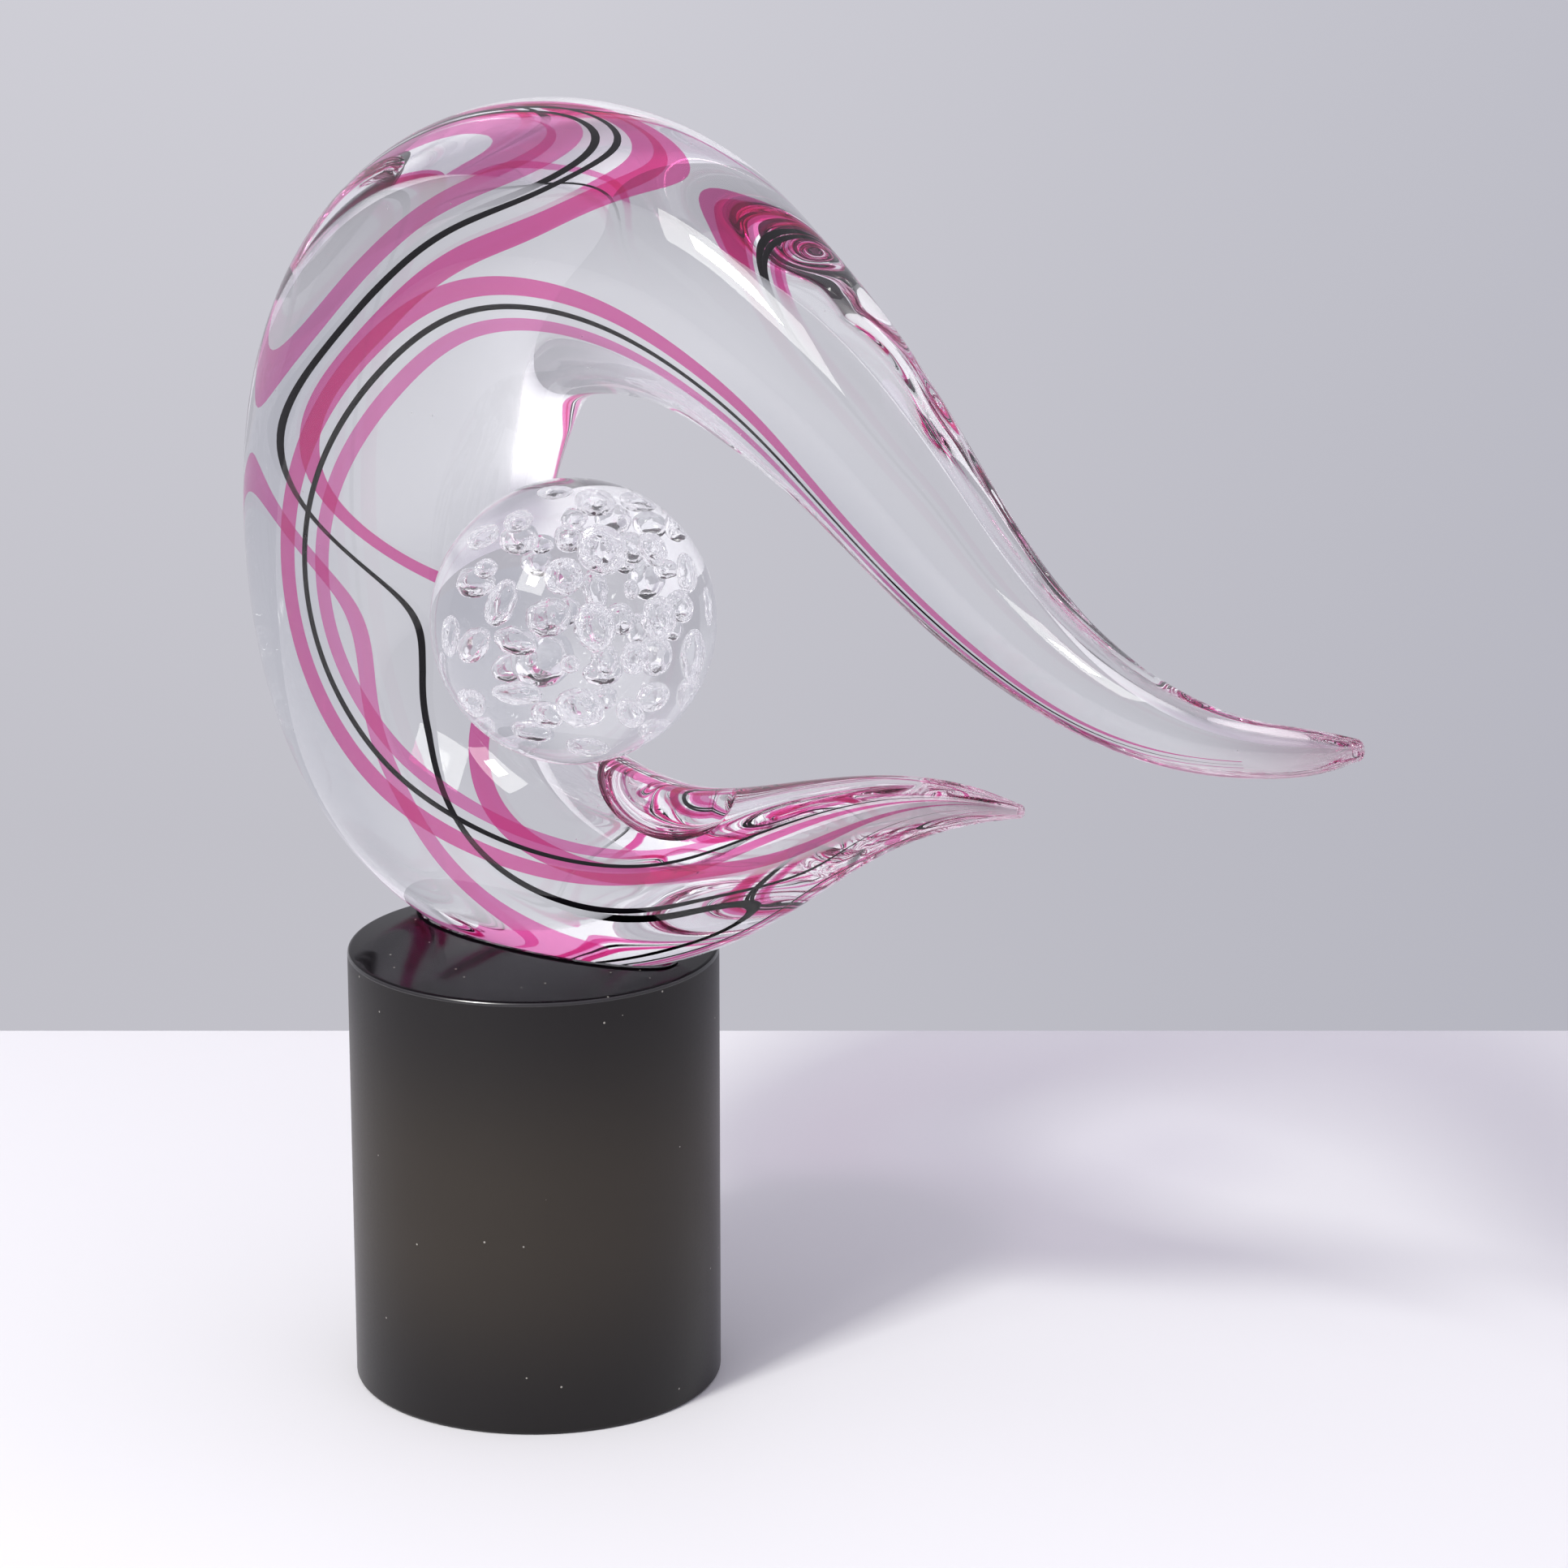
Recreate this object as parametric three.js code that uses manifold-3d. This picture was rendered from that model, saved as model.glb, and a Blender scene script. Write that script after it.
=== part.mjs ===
// A tabletop glass sculpture: an open swirl of clear glass with two tapering horns,
// striped with pink and black canes, holding a clear ball in its crook and standing
// on a dark glass cylinder. Millimetres, +Z up. The origin is the centre of the
// cylinder's underside, +X is the side that the horns point to and -Y is the front.
import * as THREE from 'three';
import { mergeVertices } from 'three/addons/utils/BufferGeometryUtils.js';
import Module from 'manifold-3d';

const wasm = await Module();
wasm.setup();

// Driving dimensions: the base
const BASE_DIAMETER = 100;
const BASE_HEIGHT = 121.5;
const BASE_BEVEL = 1.2;

// Driving dimensions: the swirl's middle line, its greatest thickness across the curve
// and from front to back, how far it stands behind the base's middle and how deep its
// underside is ground away
const LINE_WIDTH = 321.5;
const LINE_HEIGHT = 165;
const SWIRL_THICKNESS = 94;
const SWIRL_DEPTH = 75;
const SWIRL_BACK = 10;
const FOOT_GRIND = 8.4;
const FOOT_FILM = 0.5;

// Driving dimensions: the ball and the hollow ground for it in the crook. The place is
// a distance along the middle line, and the ball lies from there in the facing direction.
const BALL_DIAMETER = 75;
const BALL_FILM = 0.4;
const BALL_SEAT_PLACE = 255.5;
const BALL_SEAT_DEPTH = 2.4;
const BALL_SEAT_FACING = new THREE.Vector3(0.977, -0.163, 0.139);

// Driving dimensions: the canes let into the swirl's surface
const WIDE_CANE_WIDTH = 6;
const BLACK_CANE_WIDTH = 1.8;
const NARROW_CANE_WIDTH = 4.6;
const CANE_SPACE = 3.2;
const BACK_CANE_SHARE = 0.5;
const CANE_THICKNESS = 1.6;
const CANE_SINK = 0.3;
const CANE_START = 26;
const CANE_STOP_SHORT = { front: 48, back: 190 };
const GROOVE_MOUTH = 3.2;

// Clearance between pieces that touch or are cut to each other, the distance under
// which two corners are one, and the step over which the middle line's slope is taken
const GAP = 0.3;
const SAME_POINT = 1e-4;
const SLOPE_STEP = 0.5;

// How finely the curved pieces are divided
const SWIRL_RINGS = 46;
const SWIRL_SIDES = 22;
const TIP_RINGS = [0.5, 0.87];
const TIP_BLUNTNESS = 0.8;
const CANE_STEPS = 40;
const BALL_COLUMNS = 30;
const BALL_ROWS = 18;
const BASE_SIDES = 72;

// The swirl is a rod that tapers to both ends, with an oval section that is flatter
// from front to back. Its middle line is drawn from the lower tip, round the bottom,
// left and top, to the upper tip. Columns: x, height, half the thickness across the
// curve, and the angles of the two black canes round the section, where 180 is the
// outer edge, 270 the front, 360 the inner edge and 90 the back. The last column says
// how far the back set is spread out. The drawing is stretched to LINE_WIDTH,
// LINE_HEIGHT and SWIRL_THICKNESS, and stood on the base.
const DRAWN_LINE = [
  [160, 66.5, 1.8, 305, 105, 1],
  [148.5, 65.5, 4.1, 303, 105, 1],
  [130.5, 62, 7.3, 300, 104, 1],
  [109.5, 55, 10.8, 295, 103, 1],
  [84.5, 43.5, 15.5, 288, 102, 1],
  [57, 31.5, 21, 282, 101, 0.9],
  [27, 25, 27.7, 283, 108, 0.9],
  [-6.5, 26.5, 34.9, 285, 117, 0.9],
  [-35.5, 39.5, 41.2, 283, 124, 0.9],
  [-52.5, 60, 44.1, 279, 123, 1.2],
  [-60, 84.5, 45.1, 274, 122, 1.2],
  [-60.5, 110.5, 46.1, 274, 138, 0.7],
  [-54.5, 137.5, 47, 280, 130, 0.5],
  [-38, 165, 45.5, 286, 113, 0.55],
  [-9.5, 184.5, 40.9, 287, 98, 0.6],
  [22, 190, 37.4, 288, 98, 0.7],
  [48, 186.3, 34.3, 289, 98, 0.8],
  [72, 176, 30, 290, 98, 0.8],
  [96, 161.5, 26.2, 293, 98, 0.8],
  [118.5, 144, 22.4, 300, 98, 0.8],
  [139.5, 126.5, 18.9, 301, 98, 0.8],
  [161, 112, 15.3, 303, 98, 0.8],
  [184.5, 101.5, 12.1, 308, 98, 0.8],
  [209.5, 96, 9.3, 304, 98, 0.8],
  [234.5, 96.2, 6.8, 298, 98, 0.9],
  [253.5, 99.5, 4.6, 300, 98, 1],
  [261, 101.3, 2.8, 301, 98, 1],
];

const degrees = THREE.MathUtils.degToRad;

const spread = (values) => Math.max(...values) - Math.min(...values);
const widen = LINE_WIDTH / spread(DRAWN_LINE.map(([x]) => x));
const heighten = LINE_HEIGHT / spread(DRAWN_LINE.map(([, height]) => height));
const drawnRadius = Math.max(...DRAWN_LINE.map(([, , radius]) => radius));
const thicken = SWIRL_THICKNESS / 2 / drawnRadius;
const drawnBottom = Math.min(...DRAWN_LINE.map(
  ([, height, radius]) => height * heighten - radius * thicken,
));
const lift = BASE_HEIGHT - FOOT_GRIND - drawnBottom;
const LINE = DRAWN_LINE.map(([x, height, radius, ...caneValues]) => [
  x * widen,
  height * heighten + lift,
  radius * thicken,
  ...caneValues,
]);

// A smooth curve of several values at once: a natural cubic through every row
function naturalCubic(places, rows) {
  const last = places.length - 1;
  const width = rows[0].length;
  const bends = rows.map(() => new Array(width).fill(0));
  for (let column = 0; column < width; column += 1) {
    const ratio = [0];
    const value = [0];
    for (let i = 1; i < last; i += 1) {
      const before = places[i] - places[i - 1];
      const after = places[i + 1] - places[i];
      const rise = (rows[i + 1][column] - rows[i][column]) / after;
      const fall = (rows[i][column] - rows[i - 1][column]) / before;
      const pivot = 2 * (before + after) - before * ratio[i - 1];
      ratio.push(after / pivot);
      value.push((6 * (rise - fall) - before * value[i - 1]) / pivot);
    }
    for (let i = last - 1; i > 0; i -= 1) {
      bends[i][column] = value[i] - ratio[i] * bends[i + 1][column];
    }
  }
  return (place) => {
    let i = 0;
    while (i < last - 1 && place > places[i + 1]) i += 1;
    const span = places[i + 1] - places[i];
    const a = (places[i + 1] - place) / span;
    const b = 1 - a;
    const low = ((a ** 3 - a) * span * span) / 6;
    const high = ((b ** 3 - b) * span * span) / 6;
    return rows[i].map((start, column) => a * start + b * rows[i + 1][column]
      + low * bends[i][column] + high * bends[i + 1][column]);
  };
}

// Distance along the swirl's middle line at each point of it
const linePlaces = [0];
for (let i = 1; i < LINE.length; i += 1) {
  const step = Math.hypot(LINE[i][0] - LINE[i - 1][0], LINE[i][1] - LINE[i - 1][1]);
  linePlaces.push(linePlaces[i - 1] + step);
}
const SWIRL_LENGTH = linePlaces.at(-1);
const lineAt = naturalCubic(linePlaces, LINE);

// The swirl's oval section at a distance along it, square to the middle line. Inward
// points to the inner side of the curve and is as long as the radius there.
function sectionAt(place) {
  const [x, z, radius, frontCane, backCane, backSpread] = lineAt(place);
  const [beforeX, beforeZ] = lineAt(place - SLOPE_STEP);
  const [afterX, afterZ] = lineAt(place + SLOPE_STEP);
  const inward = new THREE.Vector3(afterZ - beforeZ, 0, beforeX - afterX);
  return {
    middle: new THREE.Vector3(x, SWIRL_BACK, z),
    inward: inward.setLength(radius),
    radius,
    halfDepth: (radius * SWIRL_DEPTH) / SWIRL_THICKNESS,
    caneAngles: { front: degrees(frontCane), back: degrees(backCane) },
    caneSpread: { front: 1, back: backSpread },
  };
}

// A point at an angle round a section, moved in towards the section's middle
function sectionPoint(section, angle, inset = 0) {
  const point = section.inward.clone().multiplyScalar(Math.cos(angle));
  point.y = section.halfDepth * Math.sin(angle);
  return point.multiplyScalar(1 - inset / point.length()).add(section.middle);
}

// A closed solid through rings of points, with a fan over each end
function loft(rings, startPoint, endPoint) {
  const sides = rings[0].length;
  const positions = [startPoint, ...rings.flat(), endPoint].flatMap((p) => p.toArray());
  const faces = [];
  const end = rings.length * sides + 1;
  for (let side = 0; side < sides; side += 1) {
    const next = (side + 1) % sides;
    faces.push(0, 1 + next, 1 + side);
    for (let ring = 0; ring < rings.length - 1; ring += 1) {
      const near = 1 + ring * sides;
      const far = near + sides;
      faces.push(near + side, near + next, far + side);
      faces.push(near + next, far + next, far + side);
    }
    const lastRing = end - sides;
    faces.push(lastRing + side, lastRing + next, end);
  }
  const geometry = new THREE.BufferGeometry();
  geometry.setAttribute('position', new THREE.Float32BufferAttribute(positions, 3));
  geometry.setIndex(faces);
  return geometry;
}

function average(points) {
  const sum = new THREE.Vector3();
  points.forEach((point) => sum.add(point));
  return sum.divideScalar(points.length);
}

// Solids for cutting and joining, and back again
function toSolid(geometry) {
  const bare = geometry.clone();
  bare.deleteAttribute('normal');
  bare.deleteAttribute('uv');
  const merged = mergeVertices(bare, SAME_POINT);
  const mesh = new wasm.Mesh({
    numProp: 3,
    vertProperties: new Float32Array(merged.attributes.position.array),
    triVerts: new Uint32Array(merged.index.array),
  });
  mesh.merge();
  return new wasm.Manifold(mesh);
}

function toGeometry(solid) {
  const mesh = solid.getMesh();
  const geometry = new THREE.BufferGeometry();
  geometry.setAttribute('position', new THREE.Float32BufferAttribute(mesh.vertProperties, 3));
  geometry.setIndex(Array.from(mesh.triVerts));
  return geometry;
}

// The whole swirl before anything is cut from it, with its two rounded tips
function swirlForm() {
  const angles = Array.from({ length: SWIRL_SIDES }, (_, i) => (i * 2 * Math.PI) / SWIRL_SIDES);
  const rings = [];
  for (let i = 0; i <= SWIRL_RINGS; i += 1) {
    const section = sectionAt((i * SWIRL_LENGTH) / SWIRL_RINGS);
    rings.push(angles.map((angle) => sectionPoint(section, angle)));
  }
  const tip = (place, towards) => {
    const section = sectionAt(place);
    const inner = sectionAt(place + towards);
    const outward = section.middle.clone().sub(inner.middle).normalize();
    const reach = TIP_BLUNTNESS * section.radius;
    const ring = (share) => angles.map((angle) => {
      const point = sectionPoint(section, angle).sub(section.middle);
      point.multiplyScalar(Math.sqrt(1 - share * share));
      return point.addScaledVector(outward, reach * share).add(section.middle);
    });
    return {
      rings: TIP_RINGS.map(ring),
      point: section.middle.clone().addScaledVector(outward, reach),
    };
  };
  const lower = tip(0, 1);
  const upper = tip(SWIRL_LENGTH, -1);
  return loft([...lower.rings.reverse(), ...rings, ...upper.rings], lower.point, upper.point);
}

// A band that follows one set of canes along the swirl's surface
function caneBand(side, offset, width, top, bottom, extra) {
  const widestRadius = SWIRL_THICKNESS / 2;
  const first = CANE_START - extra;
  const length = SWIRL_LENGTH - CANE_STOP_SHORT[side] - CANE_START + 2 * extra;
  const rings = [];
  for (let i = 0; i <= CANE_STEPS; i += 1) {
    const section = sectionAt(first + (i * length) / CANE_STEPS);
    const turn = (section.caneSpread[side] * offset) / widestRadius;
    const centre = section.caneAngles[side] + turn;
    const half = width / 2 / widestRadius + extra / section.radius;
    const low = centre - half;
    const high = centre + half;
    rings.push([
      sectionPoint(section, low, top),
      sectionPoint(section, centre, top),
      sectionPoint(section, high, top),
      sectionPoint(section, high, bottom),
      sectionPoint(section, low, bottom),
    ]);
  }
  return loft(rings, average(rings[0]), average(rings.at(-1)));
}

function cane(side, offset, width) {
  return caneBand(side, offset, width, CANE_SINK, CANE_SINK + CANE_THICKNESS, 0);
}

function caneGroove(side, offset, width) {
  const depth = CANE_SINK + CANE_THICKNESS + GAP;
  return caneBand(side, offset, width, -GROOVE_MOUTH, depth, GAP);
}

// Each set has a wide pink cane, a black thread and a narrow pink cane
const wideOffset = -(WIDE_CANE_WIDTH / 2 + CANE_SPACE + BLACK_CANE_WIDTH / 2);
const narrowOffset = BLACK_CANE_WIDTH / 2 + CANE_SPACE + NARROW_CANE_WIDTH / 2;
const CANES = [
  { name: 'wide_pink_cane', offset: wideOffset, width: WIDE_CANE_WIDTH, color: 0xd873a2 },
  { name: 'black_thread_cane', offset: 0, width: BLACK_CANE_WIDTH, color: 0x141218 },
  { name: 'narrow_pink_cane', offset: narrowOffset, width: NARROW_CANE_WIDTH, color: 0xdc7fae },
];
// The back set is drawn out thinner than the front set
const CANE_SETS = [
  { side: 'front', share: 1 },
  { side: 'back', share: BACK_CANE_SHARE },
];

// The ball lies against the crook, with a thin clear film in its ground seat
const ballRadius = BALL_DIAMETER / 2;
const seatRadius = ballRadius + BALL_FILM + 2 * GAP;
const seatSection = sectionAt(BALL_SEAT_PLACE);
const ballCentre = BALL_SEAT_FACING.clone()
  .setLength(seatSection.radius - BALL_SEAT_DEPTH + seatRadius)
  .add(seatSection.middle);

function sphere(radius) {
  const geometry = new THREE.SphereGeometry(radius, BALL_COLUMNS, BALL_ROWS);
  geometry.rotateX(Math.PI / 2);
  return geometry.translate(...ballCentre.toArray());
}

// A slab between two heights that reaches past the swirl on every side
function slab(bottom, top) {
  const wide = 2 * (SWIRL_LENGTH + BASE_DIAMETER);
  const geometry = new THREE.BoxGeometry(wide, wide, top - bottom);
  return geometry.translate(0, 0, (top + bottom) / 2);
}

const SATIN_BLACK = { color: 0x1c1a1b, roughness: 0.45, metalness: 0 };
const CLEAR_GLASS = { color: 0xdfe6e8, roughness: 0.03, metalness: 0 };
const CLEAR_FILM = { color: 0xe9eef0, roughness: 0.1, metalness: 0 };

const sculpture = new THREE.Group();
sculpture.name = 'glass_sculpture';

function addPiece(name, geometry, material) {
  const mesh = new THREE.Mesh(geometry, new THREE.MeshStandardMaterial(material));
  mesh.name = name;
  sculpture.add(mesh);
}

// The base: a dark glass cylinder with its rims bevelled
function baseForm() {
  const radius = BASE_DIAMETER / 2;
  const profile = [
    [0, 0],
    [radius - BASE_BEVEL, 0],
    [radius, BASE_BEVEL],
    [radius, BASE_HEIGHT - BASE_BEVEL],
    [radius - BASE_BEVEL, BASE_HEIGHT],
    [0, BASE_HEIGHT],
  ].map(([x, y]) => new THREE.Vector2(x, y));
  return new THREE.LatheGeometry(profile, BASE_SIDES).rotateX(Math.PI / 2);
}

addPiece('base_cylinder', toGeometry(toSolid(baseForm())), SATIN_BLACK);

// The swirl is ground flat under its foot and to a hollow where the ball lies
const wholeSwirl = toSolid(swirlForm());
const filmTop = BASE_HEIGHT + FOOT_FILM;
const footHeight = filmTop + GAP;
let swirl = wholeSwirl.subtract(toSolid(slab(-BASE_HEIGHT, footHeight)));
swirl = swirl.subtract(toSolid(sphere(seatRadius)));

// The canes are let into grooves that run along the surface
CANE_SETS.forEach(({ side, share }) => {
  CANES.forEach((form) => {
    const width = share * form.width;
    swirl = swirl.subtract(toSolid(caneGroove(side, form.offset, width)));
    const finish = { color: form.color, roughness: 0.2, metalness: 0 };
    addPiece(`${side}_${form.name}`, cane(side, form.offset, width), finish);
  });
});
addPiece('swirl_body', toGeometry(swirl), CLEAR_GLASS);

// The film that holds the foot is the shape of the ground flat, moved down onto the base
const footSlice = wholeSwirl.intersect(toSolid(slab(footHeight, footHeight + FOOT_FILM)));
const footFilm = toGeometry(footSlice).translate(0, 0, BASE_HEIGHT - footHeight);
addPiece('foot_bond_film', footFilm, CLEAR_FILM);

// The ball, and the film that holds it in its seat
addPiece('bubble_ball', toGeometry(toSolid(sphere(ballRadius))), CLEAR_GLASS);
const filmShell = toSolid(sphere(ballRadius + GAP + BALL_FILM))
  .subtract(toSolid(sphere(ballRadius + GAP)));
addPiece('ball_bond_film', toGeometry(filmShell.intersect(wholeSwirl)), CLEAR_FILM);

export default sculpture;
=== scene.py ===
# %% [markdown]
# A striped glass swirl on a dark base
#
# The real piece is studio glass: a thick clear swirl with two tapering horns,
# pink and black canes of coloured glass drawn along it, a clear ball full of air
# bubbles in its crook, and a satin black glass cylinder that carries it all. It
# could be modelled as one shape with painted stripes, but clear glass shows
# everything inside it twice, so each cane and each bubble is a real form here and
# the light does the rest. The CAD model gives every place and size.

# %% Load the frame
import math

import bmesh
import bpy
import numpy as np
from mathutils import Matrix, Vector


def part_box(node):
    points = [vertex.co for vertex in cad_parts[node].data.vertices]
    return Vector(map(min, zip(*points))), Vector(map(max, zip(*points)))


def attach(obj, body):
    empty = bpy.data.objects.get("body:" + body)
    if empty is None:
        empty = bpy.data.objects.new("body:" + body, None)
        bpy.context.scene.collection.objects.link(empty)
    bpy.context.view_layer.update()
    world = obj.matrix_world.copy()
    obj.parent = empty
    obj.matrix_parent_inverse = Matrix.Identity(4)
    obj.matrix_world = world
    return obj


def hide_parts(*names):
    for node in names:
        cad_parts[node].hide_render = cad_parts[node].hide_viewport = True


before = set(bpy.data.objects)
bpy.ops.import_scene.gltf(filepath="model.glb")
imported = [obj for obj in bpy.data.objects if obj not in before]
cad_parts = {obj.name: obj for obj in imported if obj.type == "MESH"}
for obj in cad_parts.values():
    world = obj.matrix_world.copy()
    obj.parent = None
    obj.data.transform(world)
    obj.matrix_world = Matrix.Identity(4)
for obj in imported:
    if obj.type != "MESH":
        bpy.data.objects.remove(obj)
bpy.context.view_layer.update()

MM = 0.001

# %% [markdown]
# Reading the main sizes from the frame
#
# Sizes that the CAD model already holds are read from it and not typed again. The
# base gives its radius and height, the ball its middle and radius. A few sizes are
# repeated here, because a box doesn't show them: the base's bevel, the length of
# the swirl's middle line, how thick and deep the swirl is at most, how far it lies
# behind the base's axis, how much of its foot is ground away, and the thin films and
# gaps between the pieces.

# %% Sizes from the frame
base_low, base_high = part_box("base_cylinder")
BASE_RADIUS = (base_high.x - base_low.x) / 2
BASE_TOP = base_high.z
BASE_BEVEL = 1.2 * MM

ball_low, ball_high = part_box("bubble_ball")
BALL_CENTRE = (ball_low + ball_high) / 2
BALL_RADIUS = (ball_high.z - ball_low.z) / 2

LINE_WIDTH = 321.5 * MM
LINE_HEIGHT = 165 * MM
SWIRL_THICKNESS = 94 * MM
SWIRL_DEPTH = 75 * MM
SWIRL_BACK = 10 * MM
FOOT_GRIND = 8.4 * MM
FOOT_FILM = 0.5 * MM
BALL_FILM = 0.4 * MM
GAP = 0.3 * MM
print("base top at", round(BASE_TOP / MM, 2), "mm; ball radius", round(BALL_RADIUS / MM, 2), "mm")

# %% [markdown]
# The swirl's drawing
#
# A glassmaker draws such a form as a middle line with a thickness. The real swirl is
# a rod that lies in one upright plane and tapers to both ends. It was bent on a flat
# steel table while it was soft, so its section is an oval, flatter from front to back.
# A curve with a bevel could make it, but the canes and the cuts have to know where each
# point of its skin is, so the drawing is a table here and the skin is worked out from
# it. Two columns say where round the section the black cane of each set lies, and the
# last one how far the canes of the back set are spread out.

# %% Middle line from the lower tip to the upper tip
# x, height and half the thickness in mm, then the angles of the front and the back black cane in
# degrees, where 180 is the outer edge, 270 the front, 360 the inner edge and 90 the back, and
# the spread of the back set
DRAWN_LINE = np.array([
    [160, 66.5, 1.8, 305, 105, 1],
    [148.5, 65.5, 4.1, 303, 105, 1],
    [130.5, 62, 7.3, 300, 104, 1],
    [109.5, 55, 10.8, 295, 103, 1],
    [84.5, 43.5, 15.5, 288, 102, 1],
    [57, 31.5, 21, 282, 101, 0.9],
    [27, 25, 27.7, 283, 108, 0.9],
    [-6.5, 26.5, 34.9, 285, 117, 0.9],
    [-35.5, 39.5, 41.2, 283, 124, 0.9],
    [-52.5, 60, 44.1, 279, 123, 1.2],
    [-60, 84.5, 45.1, 274, 122, 1.2],
    [-60.5, 110.5, 46.1, 274, 138, 0.7],
    [-54.5, 137.5, 47, 280, 130, 0.5],
    [-38, 165, 45.5, 286, 113, 0.55],
    [-9.5, 184.5, 40.9, 287, 98, 0.6],
    [22, 190, 37.4, 288, 98, 0.7],
    [48, 186.3, 34.3, 289, 98, 0.8],
    [72, 176, 30, 290, 98, 0.8],
    [96, 161.5, 26.2, 293, 98, 0.8],
    [118.5, 144, 22.4, 300, 98, 0.8],
    [139.5, 126.5, 18.9, 301, 98, 0.8],
    [161, 112, 15.3, 303, 98, 0.8],
    [184.5, 101.5, 12.1, 308, 98, 0.8],
    [209.5, 96, 9.3, 304, 98, 0.8],
    [234.5, 96.2, 6.8, 298, 98, 0.9],
    [253.5, 99.5, 4.6, 300, 98, 1],
    [261, 101.3, 2.8, 301, 98, 1],
])
X, HEIGHT, RADIUS = 0, 1, 2
DEGREE = math.radians(1)
LINE = DRAWN_LINE * [MM, MM, MM, DEGREE, DEGREE, 1]
LINE[:, X] *= LINE_WIDTH / np.ptp(LINE[:, X])
LINE[:, HEIGHT] *= LINE_HEIGHT / np.ptp(LINE[:, HEIGHT])
LINE[:, RADIUS] *= SWIRL_THICKNESS / 2 / LINE[:, RADIUS].max()
LINE[:, HEIGHT] += BASE_TOP - FOOT_GRIND - (LINE[:, HEIGHT] - LINE[:, RADIUS]).min()

steps = np.linalg.norm(np.diff(LINE[:, :RADIUS], axis=0), axis=1)
LINE_PLACES = np.concatenate([[0], np.cumsum(steps)])
SWIRL_LENGTH = LINE_PLACES[-1]
print("the swirl is", round(SWIRL_LENGTH / MM), "mm long along its middle line")


# %% A smooth curve through every row
def natural_cubic(places, rows):
    """A function that gives every column of rows at any place, with no kink at a row."""
    count = len(places)
    spans = np.diff(places)
    slopes = np.diff(rows, axis=0) / spans[:, None]
    matrix = np.eye(count)
    right = np.zeros_like(rows)
    for i in range(1, count - 1):
        matrix[i, i - 1:i + 2] = spans[i - 1], 2 * (spans[i - 1] + spans[i]), spans[i]
        right[i] = 6 * (slopes[i] - slopes[i - 1])
    bends = np.linalg.solve(matrix, right)

    def at(where):
        where = np.asarray(where, float)
        i = np.clip(np.searchsorted(places, where) - 1, 0, count - 2)
        span = spans[i][:, None]
        a = (places[i + 1] - where)[:, None] / span
        b = 1 - a
        curved = (a**3 - a) * bends[i] + (b**3 - b) * bends[i + 1]
        return a * rows[i] + b * rows[i + 1] + curved * span**2 / 6

    return at


line_at = natural_cubic(LINE_PLACES, LINE)
halfway = line_at([SWIRL_LENGTH / 2])[0]
print("half way along, the line is", round(halfway[HEIGHT] / MM), "mm above the table")


# %% The section of the swirl at any place
SLOPE_STEP = 0.5 * MM


class Sections:
    """Ovals across the swirl at several distances along it, in metres and radians."""

    def __init__(self, places):
        places = np.asarray(places, float)
        x, height, self.radius, front, back, spread = line_at(places).T
        self.half_depth = self.radius * SWIRL_DEPTH / SWIRL_THICKNESS
        slope = line_at(places + SLOPE_STEP) - line_at(places - SLOPE_STEP)
        zero = np.zeros_like(x)
        self.middle = np.stack([x, zero + SWIRL_BACK, height], axis=1)
        inward = np.stack([slope[:, HEIGHT], zero, -slope[:, X]], axis=1)
        self.inward = inward / np.linalg.norm(inward, axis=1, keepdims=True)
        self.cane_angles = {"front": front, "back": back}
        self.cane_spread = {"front": zero + 1, "back": spread}

    def points(self, angles):
        """Points at angles round each section."""
        angles = np.broadcast_to(angles, (len(self.radius), np.shape(angles)[-1]))
        reach = (self.inward * self.radius[:, None])[:, None, :] * np.cos(angles)[:, :, None]
        reach[:, :, 1] = self.half_depth[:, None] * np.sin(angles)
        return self.middle[:, None, :] + reach


print("there the swirl is", round(2 * Sections([SWIRL_LENGTH / 2]).radius[0] / MM), "mm thick")

# %% [markdown]
# From rings of points to a closed skin
#
# The skin runs through hundreds of rings, far closer than in the CAD model,
# because clear glass bends light by its slope and shows each facet. A subdivision
# surface would round the facets, but it also shrinks the form, so the rings are
# simply drawn finely from the same rule.

# %% Build a skin over rings
SWIRL_RINGS = 420
SWIRL_SIDES = 128
TIP_RINGS = 10
TIP_BLUNTNESS = 0.8


def new_object(name, data):
    """An object for a mesh, a lamp or a camera, placed in the scene."""
    made = bpy.data.objects.new(name, data)
    bpy.context.scene.collection.objects.link(made)
    return made


def skin(name, rings, first, last):
    """A closed mesh object through rings of points, with a fan over each end."""
    count, sides = rings.shape[:2]
    points = np.vstack([[first], rings.reshape(-1, 3), [last]])
    side = np.arange(sides)
    after = (side + 1) % sides
    near = 1 + np.arange(count - 1)[:, None] * sides
    corners = [near + side, near + after, near + sides + after, near + sides + side]
    quads = np.stack(corners, axis=2)
    end = len(points) - 1
    fans = [(0, 1 + b, 1 + a) for a, b in zip(side, after)]
    fans += [(end - sides + a, end - sides + b, end) for a, b in zip(side, after)]
    mesh = bpy.data.meshes.new(name)
    mesh.from_pydata(points.tolist(), [], quads.reshape(-1, 4).tolist() + fans)
    return new_object(name, mesh)


def tip_rings(place, towards, angles):
    """Rings that round off one end of the swirl, from the body outwards, and its last point."""
    section = Sections([place])
    outward = section.middle[0] - Sections([place + towards]).middle[0]
    outward /= np.linalg.norm(outward)
    reach = TIP_BLUNTNESS * section.radius[0]
    ring = section.points(angles)[0] - section.middle[0]
    turns = np.linspace(0, math.pi / 2, TIP_RINGS + 1)[1:-1]
    rings = [ring * math.cos(t) + outward * reach * math.sin(t) + section.middle[0] for t in turns]
    return rings, section.middle[0] + outward * reach


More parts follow.
